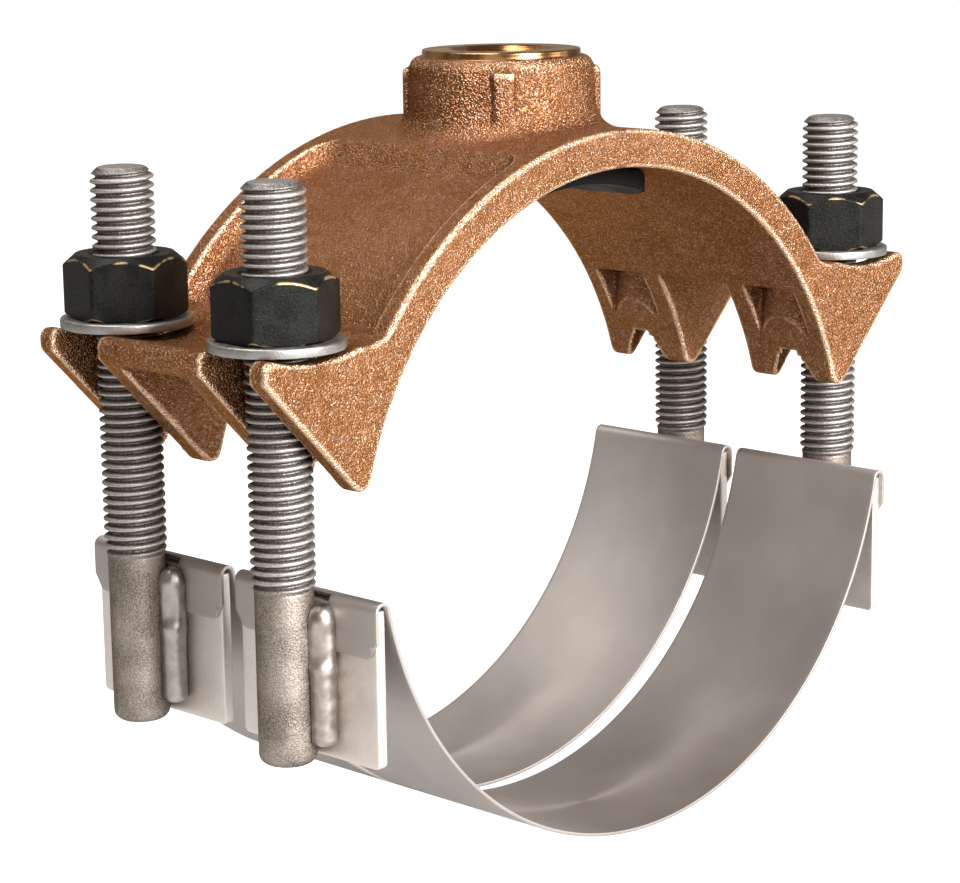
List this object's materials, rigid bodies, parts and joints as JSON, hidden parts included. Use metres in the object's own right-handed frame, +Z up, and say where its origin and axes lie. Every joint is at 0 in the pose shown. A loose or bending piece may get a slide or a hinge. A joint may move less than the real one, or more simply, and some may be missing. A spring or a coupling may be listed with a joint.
{
  "type": "service saddle",
  "caption": "Double-strap bronze service saddle: an arched casting with a threaded outlet boss, drawn on to a pipe by two stainless bands with welded studs and nuts.",
  "frame": {"origin": "on the axis of the clamped pipe, at the middle of the casting's length", "axes": "+X across the pipe, +Y along the pipe away from the pictured end, +Z up through the outlet"},
  "size_m": [0.248, 0.1068, 0.2041],
  "materials": {
    "cast_bronze": "sand cast, unmachined",
    "gasket_rubber": "moulded, matt",
    "strap_steel": "rolled and pickled, satin",
    "lug_steel": "sheared plate, pickled",
    "stud_steel": "rolled thread, pickled shank",
    "weld_metal": "as welded, pickled",
    "washer_zinc": "zinc plated",
    "nut_black": "black fluoropolymer coat, worn at the corners"
  },
  "bodies": {
    "saddle": {"saddle_body": "cast_bronze", "outlet_gasket": "gasket_rubber"},
    "front_band": {"front_strap": "strap_steel", "front_left_lug": "lug_steel", "front_left_stud": "stud_steel", "front_left_weld": "weld_metal", "front_right_lug": "lug_steel", "front_right_stud": "stud_steel", "front_right_weld": "weld_metal"},
    "front_left_nut": {"front_left_nut": "nut_black"},
    "front_left_washer": {"front_left_washer": "washer_zinc"},
    "front_right_nut": {"front_right_nut": "nut_black"},
    "front_right_washer": {"front_right_washer": "washer_zinc"},
    "rear_band": {"rear_strap": "strap_steel", "rear_left_lug": "lug_steel", "rear_left_stud": "stud_steel", "rear_left_weld": "weld_metal", "rear_right_lug": "lug_steel", "rear_right_stud": "stud_steel", "rear_right_weld": "weld_metal"},
    "rear_left_nut": {"rear_left_nut": "nut_black"},
    "rear_left_washer": {"rear_left_washer": "washer_zinc"},
    "rear_right_nut": {"rear_right_nut": "nut_black"},
    "rear_right_washer": {"rear_right_washer": "washer_zinc"}
  },
  "joints": [
    {"name": "front_left_nut_turn", "type": "hinge", "parent": "saddle", "child": "front_left_nut", "pos_m": [-0.1072, -0.028, 0.0654], "axis": [0, 0, 1], "range_deg": [-3602, 3242]},
    {"name": "front_left_washer_turn", "type": "hinge", "parent": "saddle", "child": "front_left_washer", "pos_m": [-0.1072, -0.028, 0.0562], "axis": [0, 0, 1], "continuous": true},
    {"name": "front_right_nut_turn", "type": "hinge", "parent": "saddle", "child": "front_right_nut", "pos_m": [0.1072, -0.028, 0.0654], "axis": [0, 0, 1], "range_deg": [-3602, 3242]},
    {"name": "front_right_washer_turn", "type": "hinge", "parent": "saddle", "child": "front_right_washer", "pos_m": [0.1072, -0.028, 0.0562], "axis": [0, 0, 1], "continuous": true},
    {"name": "front_band_draw", "type": "slide", "parent": "saddle", "child": "front_band", "axis": [0, 0, 1], "range_m": [-0.02078, 0.02309]},
    {"name": "rear_left_nut_turn", "type": "hinge", "parent": "saddle", "child": "rear_left_nut", "pos_m": [-0.1072, 0.028, 0.0654], "axis": [0, 0, 1], "range_deg": [-3602, 3242]},
    {"name": "rear_left_washer_turn", "type": "hinge", "parent": "saddle", "child": "rear_left_washer", "pos_m": [-0.1072, 0.028, 0.0562], "axis": [0, 0, 1], "continuous": true},
    {"name": "rear_right_nut_turn", "type": "hinge", "parent": "saddle", "child": "rear_right_nut", "pos_m": [0.1072, 0.028, 0.0654], "axis": [0, 0, 1], "range_deg": [-3602, 3242]},
    {"name": "rear_right_washer_turn", "type": "hinge", "parent": "saddle", "child": "rear_right_washer", "pos_m": [0.1072, 0.028, 0.0562], "axis": [0, 0, 1], "continuous": true},
    {"name": "rear_band_draw", "type": "slide", "parent": "saddle", "child": "rear_band", "axis": [0, 0, 1], "range_m": [-0.02078, 0.02309]}
  ],
  "couplings": [
    {"joint": "front_left_nut_turn", "follows": "front_band_draw", "rad_per_m": -2721.1},
    {"joint": "front_right_nut_turn", "follows": "front_band_draw", "rad_per_m": -2721.1},
    {"joint": "rear_left_nut_turn", "follows": "rear_band_draw", "rad_per_m": -2721.1},
    {"joint": "rear_right_nut_turn", "follows": "rear_band_draw", "rad_per_m": -2721.1}
  ]
}
